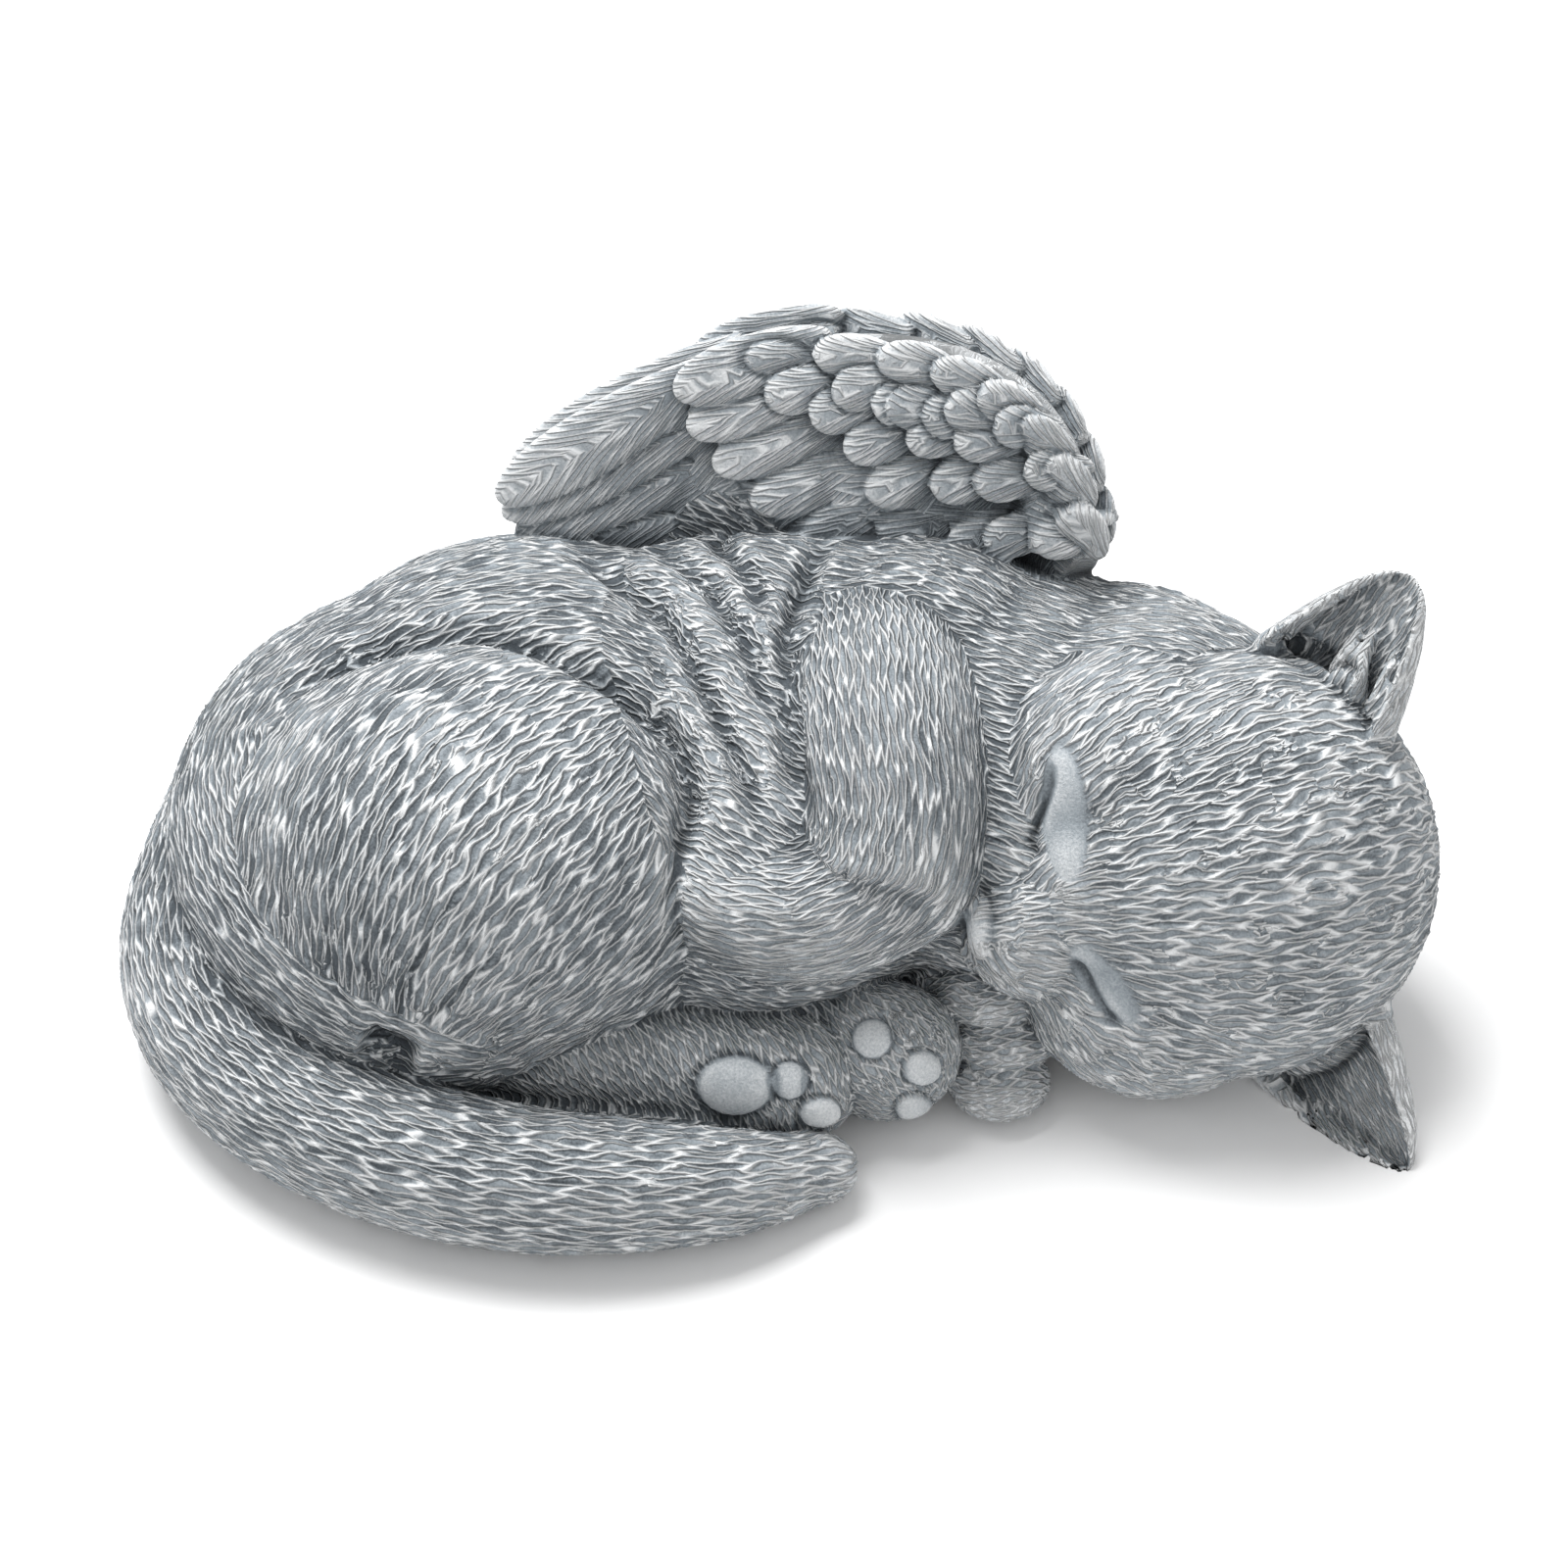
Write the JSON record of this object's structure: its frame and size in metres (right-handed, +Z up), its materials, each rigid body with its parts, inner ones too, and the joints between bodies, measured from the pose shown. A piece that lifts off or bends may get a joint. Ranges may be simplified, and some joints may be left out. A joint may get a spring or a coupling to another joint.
{
  "type": "pet memorial statue",
  "caption": "Sleeping kitten curled up on its side with a folded angel wing, a garden memorial casting that rests on its flat underside.",
  "frame": {"origin": "middle of the statue's box in X and Y, on the flat underside (Z = 0)", "axes": "+X from the rump to the crown of the head, +Y from the curled tail to the back, +Z up"},
  "size_m": [0.2042, 0.1345, 0.0865],
  "materials": {
    "cast_stone": "dull slate-grey cast stone, dry-brushed with chalky white on every raised edge, darker in the creases"
  },
  "bodies": {
    "root": {"winged_kitten": "cast_stone"}
  },
  "joints": []
}
